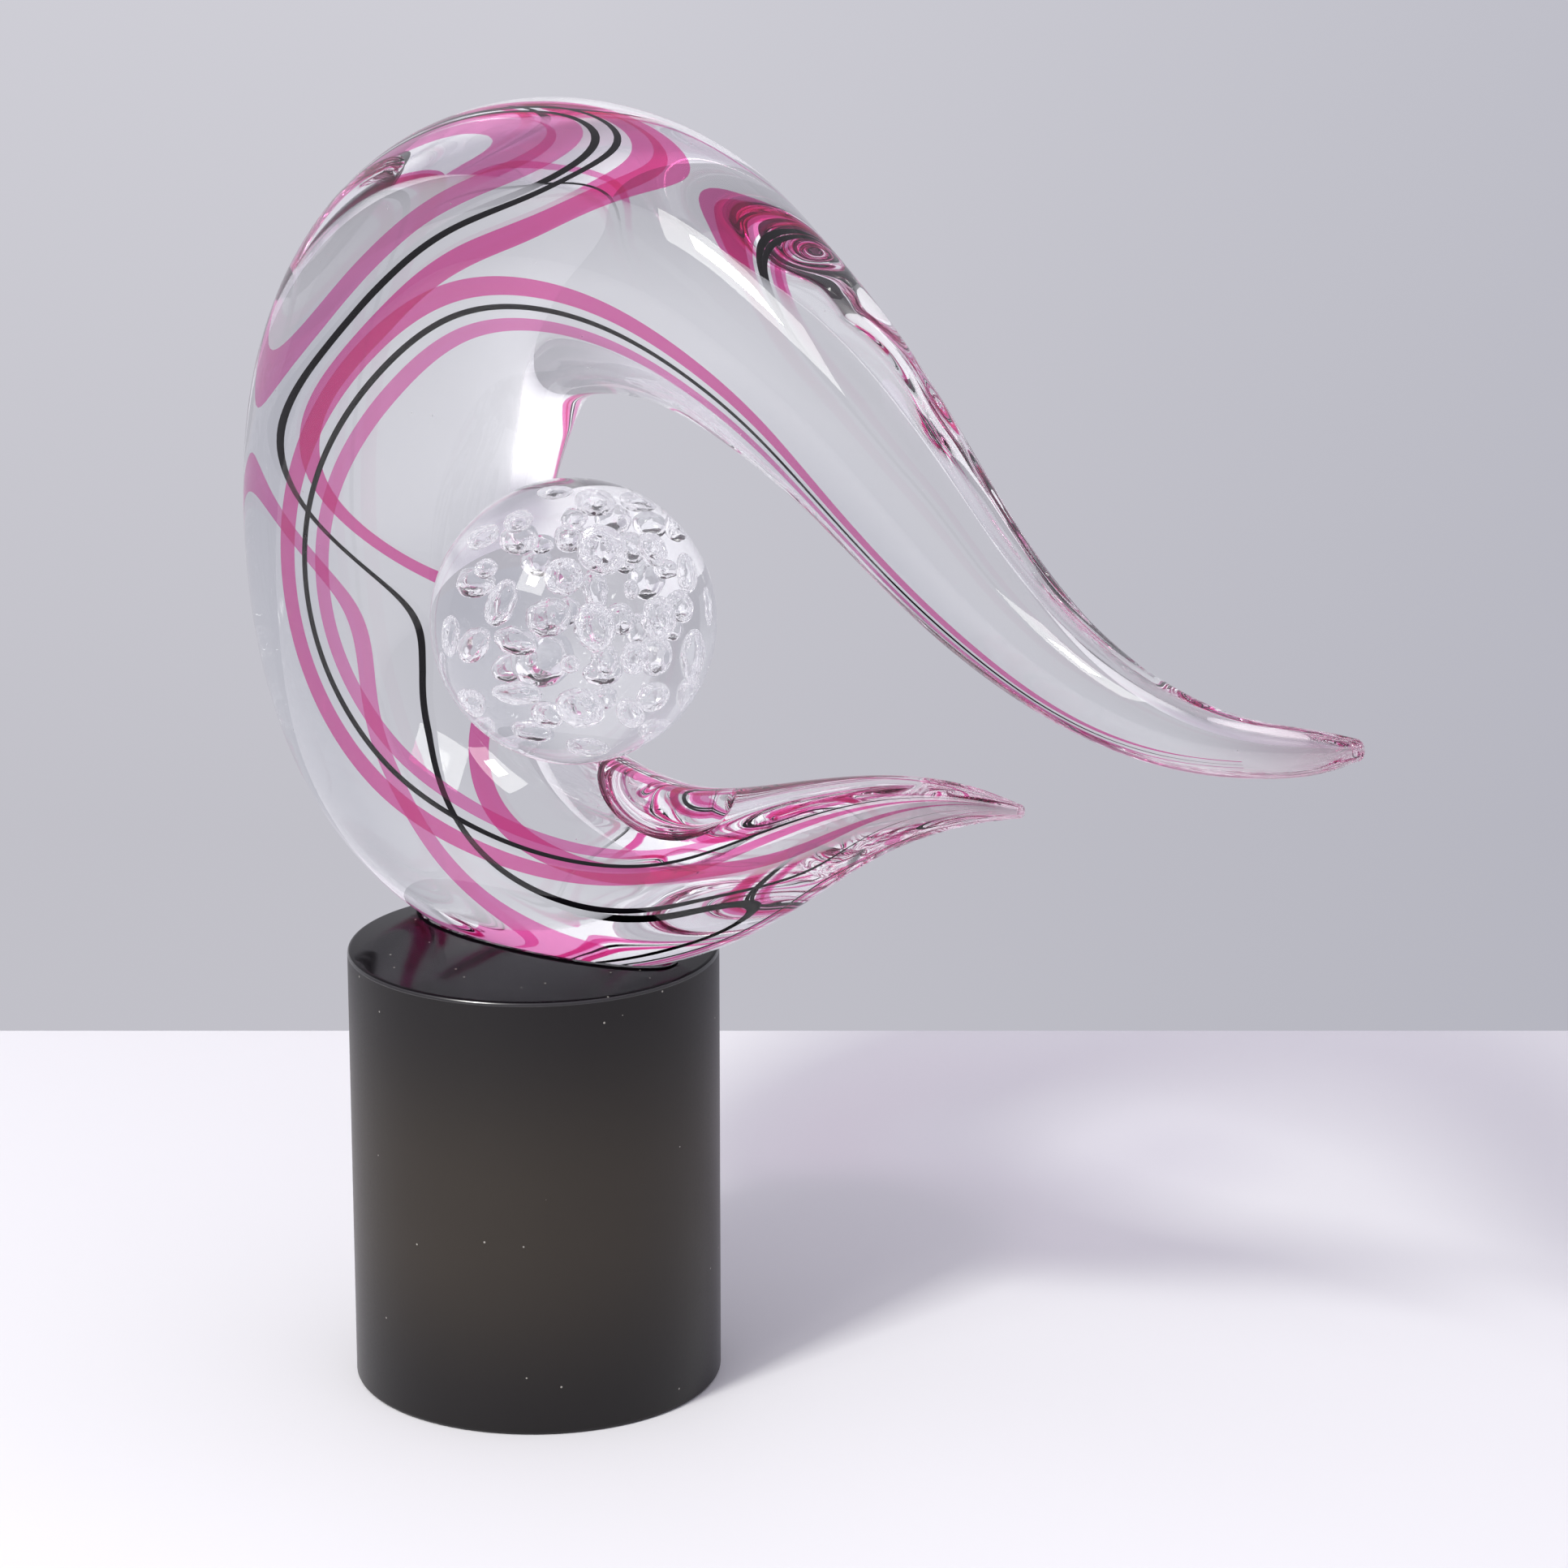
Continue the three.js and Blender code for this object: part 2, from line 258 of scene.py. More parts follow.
# %% The whole swirl before it is ground
def whole_swirl(name):
    """The swirl with both tips rounded off, before its foot and seat are ground."""
    angles = np.linspace(0, 2 * math.pi, SWIRL_SIDES, endpoint=False)
    body = Sections(np.linspace(0, SWIRL_LENGTH, SWIRL_RINGS)).points(angles)
    lower, lower_point = tip_rings(0, SLOPE_STEP, angles)
    upper, upper_point = tip_rings(SWIRL_LENGTH, -SLOPE_STEP, angles)
    rings = np.concatenate([lower[::-1], body, upper])
    return skin(name, rings, lower_point, upper_point)


swirl = whole_swirl("swirl_glass")
print("swirl skin:", len(swirl.data.polygons), "faces")


# %% [markdown]
# Grinding the foot and the seat
#
# The real swirl is ground flat under its foot and hollowed where the ball lies
# against it. A plane cut leaves the flat, and a boolean with a slightly larger ball
# leaves the hollow. The same boolean, turned round, cuts the two thin films of
# clear adhesive to the shape of the places that they fill.

# %% Cutting tools
SHARP_ABOVE = 28 * DEGREE
BALL_DETAIL = 6


def smooth(piece):
    """Shades a piece smooth except over its ground edges."""
    piece.data.shade_smooth()
    piece.data.set_sharp_from_angle(angle=SHARP_ABOVE)


def cut_flat(piece, height, keep_above=True):
    """Cuts a piece along a level plane and closes it."""
    mesh = bmesh.new()
    mesh.from_mesh(piece.data)
    parts = mesh.verts[:] + mesh.edges[:] + mesh.faces[:]
    cut = bmesh.ops.bisect_plane(
        mesh, geom=parts, plane_co=(0, 0, height), plane_no=(0, 0, 1),
        clear_inner=keep_above, clear_outer=not keep_above)
    rim = [part for part in cut["geom_cut"] if isinstance(part, bmesh.types.BMEdge)]
    bmesh.ops.edgeloop_fill(mesh, edges=rim)
    bmesh.ops.recalc_face_normals(mesh, faces=mesh.faces[:])
    mesh.to_mesh(piece.data)
    mesh.free()


def combine(piece, tool, operation):
    """Cuts a piece by another, or keeps what both share, and removes the tool."""
    change = piece.modifiers.new("cut", "BOOLEAN")
    change.object = tool
    change.operation = operation
    change.solver = "EXACT"
    graph = bpy.context.evaluated_depsgraph_get()
    made = bpy.data.meshes.new_from_object(piece.evaluated_get(graph))
    piece.modifiers.remove(change)
    piece.data = made
    bpy.data.objects.remove(tool)


def fine_ball(name, radius):
    """A fine ball about the middle of the bubble ball."""
    mesh = bmesh.new()
    bmesh.ops.create_icosphere(mesh, subdivisions=BALL_DETAIL, radius=radius)
    bmesh.ops.translate(mesh, verts=mesh.verts[:], vec=BALL_CENTRE)
    made = new_object(name, bpy.data.meshes.new(name))
    mesh.to_mesh(made.data)
    mesh.free()
    return made


# %% The ground swirl
FOOT_HEIGHT = BASE_TOP + FOOT_FILM + GAP
SEAT_RADIUS = BALL_RADIUS + BALL_FILM + 2 * GAP
cut_flat(swirl, FOOT_HEIGHT)
combine(swirl, fine_ball("seat_tool", SEAT_RADIUS), "DIFFERENCE")
smooth(swirl)
print("ground swirl:", len(swirl.data.polygons), "faces")

# %% The two clear films
foot_film = whole_swirl("foot_bond_glass")
cut_flat(foot_film, FOOT_HEIGHT)
cut_flat(foot_film, FOOT_HEIGHT + FOOT_FILM, keep_above=False)
foot_film.data.transform(Matrix.Translation((0, 0, BASE_TOP - FOOT_HEIGHT)))
smooth(foot_film)

ball_film = fine_ball("ball_bond_glass", BALL_RADIUS + GAP + BALL_FILM)
combine(ball_film, fine_ball("film_tool", BALL_RADIUS + GAP), "DIFFERENCE")
combine(ball_film, whole_swirl("swirl_tool"), "INTERSECT")
smooth(ball_film)
print("films:", len(foot_film.data.polygons), "and", len(ball_film.data.polygons), "faces")

# %% [markdown]
# Building node trees in a script
#
# Both geometry nodes and shader nodes are written out here, so a small helper
# keeps them short: it adds a node, sets it up and joins its inputs in one call.

# %% One helper for every node
def add(tree, kind, inputs=None, **settings):
    """A node with its settings, whose inputs are set to values or joined to other sockets."""
    made = tree.nodes.new(kind)
    for name, value in settings.items():
        setattr(made, name, value)
    for name, value in (inputs or {}).items():
        if isinstance(value, bpy.types.NodeSocket):
            tree.links.new(value, made.inputs[name])
        else:
            made.inputs[name].default_value = value
    return made


def math_node(tree, operation, first, second=0.0):
    """The result of a sum on two values or sockets."""
    return add(tree, "ShaderNodeMath", {0: first, 1: second}, operation=operation).outputs[0]


def vector_node(tree, operation, first, second=None, scale=None):
    """The result of a vector sum."""
    inputs = {0: first}
    if second is not None:
        inputs[1] = second
    if scale is not None:
        inputs["Scale"] = scale
    return add(tree, "ShaderNodeVectorMath", inputs, operation=operation).outputs[0]


def stored(tree, name, data_type="FLOAT_VECTOR"):
    """What a mesh holds under a name at each of its points, in a geometry tree."""
    return add(tree, "GeometryNodeInputNamedAttribute", {"Name": name},
               data_type=data_type).outputs["Attribute"]


def tree_with(name, kind, inputs, outputs):
    """An empty node group with named sockets, its input node and its output node."""
    tree = bpy.data.node_groups.new(name, kind)
    for direction, sockets in (("INPUT", inputs), ("OUTPUT", outputs)):
        for label, socket_type in sockets.items():
            tree.interface.new_socket(label, in_out=direction, socket_type=socket_type)
    return tree, tree.nodes.new("NodeGroupInput"), tree.nodes.new("NodeGroupOutput")


def run_tree(piece, tree, values):
    """Puts a piece through a geometry tree and makes the result a plain mesh."""
    change = piece.modifiers.new(tree.name, "NODES")
    change.node_group = tree
    for label, value in values.items():
        socket = next(item for item in tree.interface.items_tree
                      if item.name == label and item.in_out == "INPUT")
        change[socket.identifier] = value
    graph = bpy.context.evaluated_depsgraph_get()
    made = bpy.data.meshes.new_from_object(piece.evaluated_get(graph))
    piece.modifiers.remove(change)
    piece.data = made
    return piece


# %% [markdown]
# The canes
#
# A cane is a rod of coloured glass that is laid on the hot clear glass and drawn
# out with it, so it becomes a thin flat ribbon just under the surface. Each one
# follows the swirl and turns slowly round it, narrows where the glass narrows and
# thins out towards both ends. The back set was drawn out thinner than the front set,
# and ends over the arm, where the photograph no longer shows it. A painted stripe
# would have no thickness and stay on the skin. So a geometry tree sweeps a flat oval
# along a guide line. The guide carries two directions: across, as long as half the
# ribbon's width, and inward, as long as the share of its thickness that is left. The
# tree only needs to know how thick the ribbon is at most and how many sides the oval
# has.

# %% The tree that sweeps a ribbon
def ribbon_tree():
    """A geometry tree that turns a guide line into a flat ribbon of coloured glass."""
    tree, given, result = tree_with(
        "cane_ribbon", "GeometryNodeTree",
        {"Guide": "NodeSocketGeometry", "Thickness": "NodeSocketFloat",
         "Sides": "NodeSocketInt", "Material": "NodeSocketMaterial"},
        {"Cane": "NodeSocketGeometry"})
    line = add(tree, "GeometryNodeMeshToCurve", {"Mesh": given.outputs["Guide"]})
    oval = add(tree, "GeometryNodeCurvePrimitiveCircle", {"Resolution": given.outputs["Sides"]})
    factor = add(tree, "GeometryNodeSplineParameter").outputs["Factor"]
    turn = math_node(tree, "MULTIPLY", factor, 2 * math.pi)
    marked = add(tree, "GeometryNodeStoreNamedAttribute", {
        "Geometry": oval.outputs["Curve"], "Name": "turn", "Value": turn,
    }, data_type="FLOAT", domain="POINT")
    swept = add(tree, "GeometryNodeCurveToMesh", {
        "Curve": line.outputs["Curve"], "Profile Curve": marked.outputs["Geometry"],
        "Fill Caps": True,
    })

    turned = stored(tree, "turn", "FLOAT")
    round_x = math_node(tree, "COSINE", turned)
    across = vector_node(tree, "SCALE", stored(tree, "across"), scale=round_x)
    half = math_node(tree, "MULTIPLY", given.outputs["Thickness"], 0.5)
    depth = math_node(tree, "MULTIPLY", math_node(tree, "SINE", turned), half)
    inward = vector_node(tree, "SCALE", stored(tree, "inward"), scale=depth)
    place = vector_node(tree, "ADD", stored(tree, "centre"), across)
    place = vector_node(tree, "ADD", place, inward)
    moved = add(tree, "GeometryNodeSetPosition", {
        "Geometry": swept.outputs["Mesh"], "Position": place,
    })
    shaded = add(tree, "GeometryNodeSetShadeSmooth", {"Geometry": moved.outputs["Geometry"]})
    real = add(tree, "GeometryNodeRealizeInstances", {"Geometry": shaded.outputs["Geometry"]})
    painted = add(tree, "GeometryNodeSetMaterial", {
        "Geometry": real.outputs["Geometry"], "Material": given.outputs["Material"],
    })
    tree.links.new(painted.outputs["Geometry"], result.inputs["Cane"])
    return tree


# %% Guide lines for the canes
WIDE_CANE_WIDTH = 6 * MM
BLACK_CANE_WIDTH = 1.8 * MM
NARROW_CANE_WIDTH = 4.6 * MM
CANE_SPACE = 3.2 * MM
BACK_CANE_SHARE = 0.5
CANE_DEPTH = 1.1 * MM
DEEPEST_SHARE = 0.3
CANE_START = 8 * MM
CANE_STOP_SHORT = {"front": 30 * MM, "back": 190 * MM}
CANE_FADE = 60 * MM
THREAD_FADE = 150 * MM
FINEST_SHARE = 0.2
CANE_POINTS = 360


def keep_vectors(mesh, label, values):
    """Stores a vector for each point of a mesh, under a name that a tree can read."""
    row = mesh.attributes.new(label, "FLOAT_VECTOR", "POINT")
    row.data.foreach_set("vector", np.ravel(values))


def cane_guide(name, side, offset, width, fade):
    """A line of points along one cane, with the ribbon's directions, which shorten as it
    thins out over the length of its fade at both ends."""
    last = SWIRL_LENGTH - CANE_STOP_SHORT[side]
    places = np.linspace(CANE_START, last, CANE_POINTS)
    sections = Sections(places)
    widest = SWIRL_THICKNESS / 2
    centre = sections.cane_angles[side] + sections.cane_spread[side] * offset / widest
    end = np.minimum(places - CANE_START, last - places)
    drawn = np.clip(end / fade, FINEST_SHARE, 1)
    half = drawn * width / 2 / widest
    angles = np.stack([centre - half, centre, centre + half], axis=1)
    depth = np.minimum(CANE_DEPTH, sections.radius * DEEPEST_SHARE)
    points = sections.points(angles)
    inward = sections.middle - points[:, 1]
    inward /= np.linalg.norm(inward, axis=1, keepdims=True)
    middle = points[:, 1] + inward * depth[:, None]
    inward *= (drawn * sections.radius / widest)[:, None]
    across = (points[:, 2] - points[:, 0]) / 2
    mesh = bpy.data.meshes.new(name)
    edges = [(i, i + 1) for i in range(CANE_POINTS - 1)]
    mesh.from_pydata(middle.tolist(), edges, [])
    for label, values in (("centre", middle), ("across", across), ("inward", inward)):
        keep_vectors(mesh, label, values)
    mesh.attributes.new("along", "FLOAT", "POINT").data.foreach_set("value", places)
    return new_object(name, mesh)


# %% [markdown]
# Shared surface effects
#
# Two effects come back on several surfaces, so each is a node group with its own
# sizes. Fire-polished glass is never perfectly even: slow ripples bend what is seen
# through it. And every surface in a studio picture has a little dust on it.

# %% A node group for ripples
def ripple_group():
    """Normals that slow, shallow ripples bend out of true."""
    tree, given, result = tree_with(
        "fire_polish_ripple", "ShaderNodeTree",
        {"Scale": "NodeSocketFloat", "Strength": "NodeSocketFloat", "Depth": "NodeSocketFloat"},
        {"Normal": "NodeSocketVector"})
    place = add(tree, "ShaderNodeTexCoord").outputs["Object"]
    noise = add(tree, "ShaderNodeTexNoise", {
        "Vector": place, "Scale": given.outputs["Scale"], "Detail": 1.5, "Roughness": 0.4,
    })
    bump = add(tree, "ShaderNodeBump", {
        "Strength": given.outputs["Strength"], "Distance": given.outputs["Depth"],
        "Height": noise.outputs["Fac"],
    })
    tree.links.new(bump.outputs["Normal"], result.inputs["Normal"])
    return tree


RIPPLE = ripple_group()
print("node group:", RIPPLE.name)


# %% A node group for dust
def dust_group():
    """A mask of small round specks: Amount is the share of the cells that hold one."""
    tree, given, result = tree_with(
        "fine_dust", "ShaderNodeTree",
        {"Scale": "NodeSocketFloat", "Size": "NodeSocketFloat", "Amount": "NodeSocketFloat"},
        {"Mask": "NodeSocketFloat"})
    place = add(tree, "ShaderNodeTexCoord").outputs["Object"]
    cells = add(tree, "ShaderNodeTexVoronoi", {
        "Vector": place, "Scale": given.outputs["Scale"], "Randomness": 1.0,
    })
    speck = math_node(tree, "LESS_THAN", cells.outputs["Distance"], given.outputs["Size"])
    chance = add(tree, "ShaderNodeSeparateColor", {"Color": cells.outputs["Color"]}).outputs["Red"]
    chosen = math_node(tree, "LESS_THAN", chance, given.outputs["Amount"])
    both = math_node(tree, "MULTIPLY", speck, chosen)
    tree.links.new(both, result.inputs["Mask"])
    return tree


DUST = dust_group()
print("node group:", DUST.name)


# %% Helpers for materials
def use_group(tree, group, **values):
    """A shared group, placed in a material with values of its own."""
    made = add(tree, "ShaderNodeGroup", node_tree=group)
    for label, value in values.items():
        made.inputs[label].default_value = value
    return made


def new_material(name):
    """A material with an empty tree and its output node."""
    made = bpy.data.materials.new(name)
    made.use_nodes = True
    made.node_tree.nodes.clear()
    return made, made.node_tree, add(made.node_tree, "ShaderNodeOutputMaterial")


def colour_mix(tree, factor, first, second):
    """A colour between two, by a value or socket."""
    made = add(tree, "ShaderNodeMix", data_type="RGBA")
    for place, value in ((0, factor), (6, first), (7, second)):
        if isinstance(value, bpy.types.NodeSocket):
            tree.links.new(value, made.inputs[place])
        else:
            made.inputs[place].default_value = value
    return made.outputs[2]


def shader_mix(tree, factor, first, second):
    """A shader between two, by a value or socket."""
    return add(tree, "ShaderNodeMixShader", {0: factor, 1: first, 2: second}).outputs["Shader"]


def rise(tree, value, start, full, steps="SMOOTHSTEP"):
    """A value that goes from 0 to 1 while another goes from start to full."""
    return add(tree, "ShaderNodeMapRange", {
        "Value": value, "From Min": start, "From Max": full,
    }, interpolation_type=steps).outputs["Result"]


def between(tree, axis, start, full, steps="SMOOTHSTEP"):
    """A value that goes from 0 to 1 between two places along an axis of the piece."""
    place = add(tree, "ShaderNodeTexCoord").outputs["Object"]
    spot = add(tree, "ShaderNodeSeparateXYZ", {"Vector": place}).outputs[axis]
    return rise(tree, spot, start, full, steps)


# %% [markdown]
# Clear glass
#
# A glass shader bends and mirrors light by itself. Its weak point is the shadow:
# lamps can't find their way through a bent surface, so clear glass would throw a
# black one. The usual answer is used here: rays that ask a lamp for light pass
# straight through, and lose more where the glass is seen edge on. The slim horns
# stand far above the table and bend the light further aside, so they lose most,
# while the ball and the thin films lose little. The lower horn and the arm's tip
# have a rosy tint, as the photograph shows where the coloured glass runs out.

# %% How clear glass dims and tints the light
GLASS_IOR = 1.5
# what is left of a lamp's light through glass that is seen face on and edge on
THICK_SHADOW = ((0.60, 0.58, 0.63), (0.07, 0.06, 0.08))
THIN_SHADOW = ((0.94, 0.93, 0.95), (0.80, 0.79, 0.82))
HORN_SHADOW = (0.22, 0.20, 0.25)
ROSY_TINT = (0.69, 0.56, 0.62)
# where each of them starts along an axis, and where it is full
HORN_SHADOW_X = (20 * MM, 120 * MM)
LOWER_HORN_X = (50 * MM, 170 * MM)
LOWER_HORN_Z = (215 * MM, 190 * MM)
ARM_TIP_X = (205 * MM, 270 * MM)


def rosy_tips(tree, tint):
    """The glass's tint, turning rosy along the lower horn and at the arm's tip."""
    along = between(tree, "X", *LOWER_HORN_X)
    below = between(tree, "Z", *LOWER_HORN_Z)
    horn = math_node(tree, "MULTIPLY", along, below)
    tips = math_node(tree, "MAXIMUM", horn, between(tree, "X", *ARM_TIP_X))
    return colour_mix(tree, tips, (*tint, 1), (*ROSY_TINT, 1))


# %% The clear glass materials
DUST_ROUGHNESS = 0.35


def clear_glass(name, tint, shadow, ripple_scale, ripple_depth, dust_amount, horns=False):
    """Clear glass that lets a lamp's light through in a straight line."""
    made, tree, output = new_material(name)
    colour = (*tint, 1)
    ripple = use_group(tree, RIPPLE, Scale=ripple_scale, Strength=1.0, Depth=ripple_depth)
    dust = use_group(tree, DUST, Scale=420.0, Size=0.12, Amount=dust_amount)
    rough = math_node(tree, "MULTIPLY", dust.outputs["Mask"], DUST_ROUGHNESS)
    edge = add(tree, "ShaderNodeLayerWeight", {"Blend": 0.35}).outputs["Facing"]
    shade = colour_mix(tree, edge, (*shadow[0], 1), (*shadow[1], 1))
    if horns:
        colour = rosy_tips(tree, tint)
        shade = colour_mix(tree, between(tree, "X", *HORN_SHADOW_X), shade, (*HORN_SHADOW, 1))
    glass = add(tree, "ShaderNodeBsdfPrincipled", {
        "Base Color": colour, "Roughness": rough, "IOR": GLASS_IOR,
        "Transmission Weight": 1.0, "Normal": ripple.outputs["Normal"],
    })
    through = add(tree, "ShaderNodeBsdfTransparent", {"Color": shade})
    asks_lamp = add(tree, "ShaderNodeLightPath").outputs["Is Shadow Ray"]
    mixed = shader_mix(tree, asks_lamp, glass.outputs["BSDF"], through.outputs["BSDF"])
    tree.links.new(mixed, output.inputs["Surface"])
    return made


swirl_glass = clear_glass(
    "swirl_clear_glass", (0.975, 0.985, 0.985), THICK_SHADOW,
    ripple_scale=14.0, ripple_depth=0.5 * MM, dust_amount=0.01, horns=True)
ball_glass = clear_glass(
    "ball_clear_glass", (0.98, 0.985, 0.99), THIN_SHADOW,
    ripple_scale=20.0, ripple_depth=0.2 * MM, dust_amount=0.02)
film_glass = clear_glass(
    "clear_adhesive", (0.99, 0.99, 0.99), THIN_SHADOW,
    ripple_scale=30.0, ripple_depth=0.1 * MM, dust_amount=0.02)
print("clear:", swirl_glass.name, ball_glass.name, film_glass.name)


# %% [markdown]
# Coloured cane glass
#
# Pink cane glass has the same body as the clear glass round it, so light doesn't
# bend where it enters and only takes on colour. A transparent shader does exactly
# that. A little solid colour under it catches the light, as real cane does, and
# streaks along the cane show how it was drawn out.

# %% Streaks along a cane
# how far the noise moves for each metre along a cane
STREAK_DENSITY = 12.0


def streaks(tree, scale):
    """A value that changes across a cane and hardly along it."""
    across = add(tree, "ShaderNodeAttribute", attribute_name="turn").outputs["Fac"]
    along = add(tree, "ShaderNodeAttribute", attribute_name="along").outputs["Fac"]
    round_x = math_node(tree, "COSINE", across)
    round_y = math_node(tree, "SINE", across)
    place = add(tree, "ShaderNodeCombineXYZ", {
        "X": round_x, "Y": round_y, "Z": math_node(tree, "MULTIPLY", along, STREAK_DENSITY),
    })
    return add(tree, "ShaderNodeTexNoise", {
        "Vector": place.outputs["Vector"], "Scale": scale, "Detail": 3.0,
    }).outputs["Fac"]


# %% The cane materials
PALE_STREAK = 1.12
DARK_STREAK = 0.8


def pink_glass(name, clear_tint, body_colour, body_share):
    """Glass that tints what is seen through it, with a little solid colour in it."""
    made, tree, output = new_material(name)
    lines = streaks(tree, scale=2.2)
    pale = [min(1.0, value * PALE_STREAK) for value in clear_tint]
    dark = [value * DARK_STREAK for value in body_colour]
    tint = colour_mix(tree, lines, (*clear_tint, 1), (*pale, 1))
    through = add(tree, "ShaderNodeBsdfTransparent", {"Color": tint})
    body = add(tree, "ShaderNodeBsdfPrincipled", {
        "Base Color": colour_mix(tree, lines, (*body_colour, 1), (*dark, 1)),
        "Roughness": 0.5, "Specular IOR Level": 0.0,
    })
    mixed = shader_mix(tree, body_share, through.outputs["BSDF"], body.outputs["BSDF"])
    tree.links.new(mixed, output.inputs["Surface"])
    return made


def black_glass(name):
    """Opaque black glass with faint streaks."""
    made, tree, output = new_material(name)
    lines = streaks(tree, scale=3.0)
    body = add(tree, "ShaderNodeBsdfPrincipled", {
        "Base Color": colour_mix(tree, lines, (0.004, 0.003, 0.005, 1), (0.014, 0.012, 0.017, 1)),
        "Roughness": 0.5, "Specular IOR Level": 0.0,
    })
    tree.links.new(body.outputs["BSDF"], output.inputs["Surface"])
    return made


wide_pink = pink_glass(
    "wide_pink_cane_glass", (0.99, 0.46, 0.72), (0.85, 0.22, 0.48), body_share=0.10)
narrow_pink = pink_glass(
    "narrow_pink_cane_glass", (0.99, 0.56, 0.78), (0.88, 0.30, 0.55), body_share=0.08)
black_cane = black_glass("black_cane_glass")
print("canes:", wide_pink.name, narrow_pink.name, black_cane.name)

# %% Sweep the six canes
CANE_RIBBON = ribbon_tree()
CANE_SIDES = 20
wide_offset = -(WIDE_CANE_WIDTH / 2 + CANE_SPACE + BLACK_CANE_WIDTH / 2)
narrow_offset = BLACK_CANE_WIDTH / 2 + CANE_SPACE + NARROW_CANE_WIDTH / 2
# cane, how far round from the black one, width, thickness, finish, slot
CANES = [
    ("wide_pink_cane", wide_offset, WIDE_CANE_WIDTH, 0.9 * MM, wide_pink, "pink_glass"),
    ("black_thread_cane", 0, BLACK_CANE_WIDTH, 1.2 * MM, black_cane, "black_glass"),
    ("narrow_pink_cane", narrow_offset, NARROW_CANE_WIDTH, 0.8 * MM, narrow_pink, "pink_glass"),
]
for side, share in (("front", 1), ("back", BACK_CANE_SHARE)):
    for label, offset, width, thickness, finish, slot in CANES:
        node = f"{side}_{label}"
        fade = THREAD_FADE if node == "back_black_thread_cane" else CANE_FADE
        cane = cane_guide(node + "_glass", side, offset, share * width, fade)
        run_tree(cane, CANE_RIBBON, {
            "Thickness": share * thickness, "Sides": CANE_SIDES, "Material": finish,
        })
        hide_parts(node)
        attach(cane, "root")
        print(cane.name, len(cane.data.polygons), "faces")

# %% [markdown]
# The ball and its bubbles
#
# Each bubble is a real hollow: a small oval whose faces point into the air inside
# it, so light leaves the glass there and comes back in behind. The list says where
# each one is seen on the ball's face, how large it looks and how it tilts. The ball
# is a strong lens, so the script follows the line of sight through its front
# surface to find where the bubble really lies, and how small it really is.

# %% Bubbles as they are seen
# right and up from the ball's middle, width, height (mm), tilt (degrees), depth (mm)
BUBBLES = [
    (-4.5, 33.5, 6.5, 4, 0, 5), (6, 31, 7.5, 7, -20, 7), (17.5, 31, 8.5, 5, -30, 5),
    (10.5, 26.5, 6.5, 6, -20, 5), (0.5, 26.5, 4.5, 4.5, 0, 12), (-14, 26, 5.5, 5, 0, 9),
    (-14, 21.5, 7, 6, 10, 20), (-23.5, 22, 7, 5, 0, 6), (-0.5, 21.5, 6, 5.5, -10, 16),
    (-8, 20, 4.5, 3.5, 0, 22), (7.5, 18.5, 9, 10, -15, 9), (15, 19, 6, 6, 0, 20),
    (20.5, 18.5, 6, 6.5, 0, 8), (27, 24.5, 4.5, 8.5, 35, 4), (20.5, 25, 5.5, 4.5, 0, 12),
    (-9.5, 15.5, 5.5, 5, 0, 30), (-22.5, 14, 4.5, 3.5, 0, 16), (-25.5, 10.5, 8, 5.5, 10, 10),
    (-2.5, 11.5, 7, 7, 15, 12), (5.5, 8, 5, 7.5, -10, 8), (13, 15.5, 4.5, 4.5, 0, 10),
    (19, 11, 6.5, 7.5, 0, 10), (15, 8, 3, 3.5, 0, 18), (29.5, 12.5, 5, 8, 15, 5),
    (24, 13.5, 5, 3.5, 0, 16), (-18.5, 5, 5.5, 9, 25, 14), (-6.5, 1, 8.5, 7, -15, 16),
    (-1, 2.5, 4.5, 5.5, 0, 30), (5.5, -1.5, 7.5, 9, -10, 9), (12, 0.5, 5.5, 6, 0, 18),
    (16.5, -2.5, 4.5, 6, 0, 12), (22, 0.5, 7, 8, 0, 10), (27.5, 3.5, 6, 5.5, 0, 14),
    (25.5, -2, 4.5, 4.5, 0, 6), (35, 3.5, 3, 7, 5, 4), (-32, -3.5, 5, 7.5, 10, 6),
    (-26, -6, 7.5, 5, -40, 8), (-15, -5, 8.5, 5, 15, 12), (-8.5, -9.5, 11.5, 10.5, -10, 18),
    (-16, -11.5, 7.5, 5, -15, 24), (-1, -11, 3.5, 3.5, 0, 10), (8, -10, 5, 6, 0, 20),
    (7.5, -13.5, 7, 4.5, 0, 12), (15.5, -9.5, 5.5, 6, 0, 9), (21, -9, 6.5, 7.5, 0, 14),
    (31, -9.5, 6, 9.5, 0, 5), (-15, -18.5, 9.5, 4.5, -3, 7), (-27, -21, 8, 5.5, -30, 5),
    (-23.5, -27.5, 7, 3.5, -50, 4), (-34, -12.5, 2.5, 7, 15, 4), (1.5, -22.5, 9, 7.5, 30, 10),
    (7.5, -20, 5, 5, 0, 18), (-7, -24, 6, 5, 30, 12), (-11, -28.5, 7.5, 4.5, 5, 6),
    (-15, -32.5, 8, 4.5, -20, 4), (14.5, -24, 5, 7, -30, 9), (20.5, -20, 6.5, 5.5, 0, 8),
    (30, -19.5, 5.5, 7.5, -35, 5), (21.5, -28.5, 8.5, 5, 30, 5), (3.5, -33, 8, 5, 25, 4),
]
print(len(BUBBLES), "bubbles")

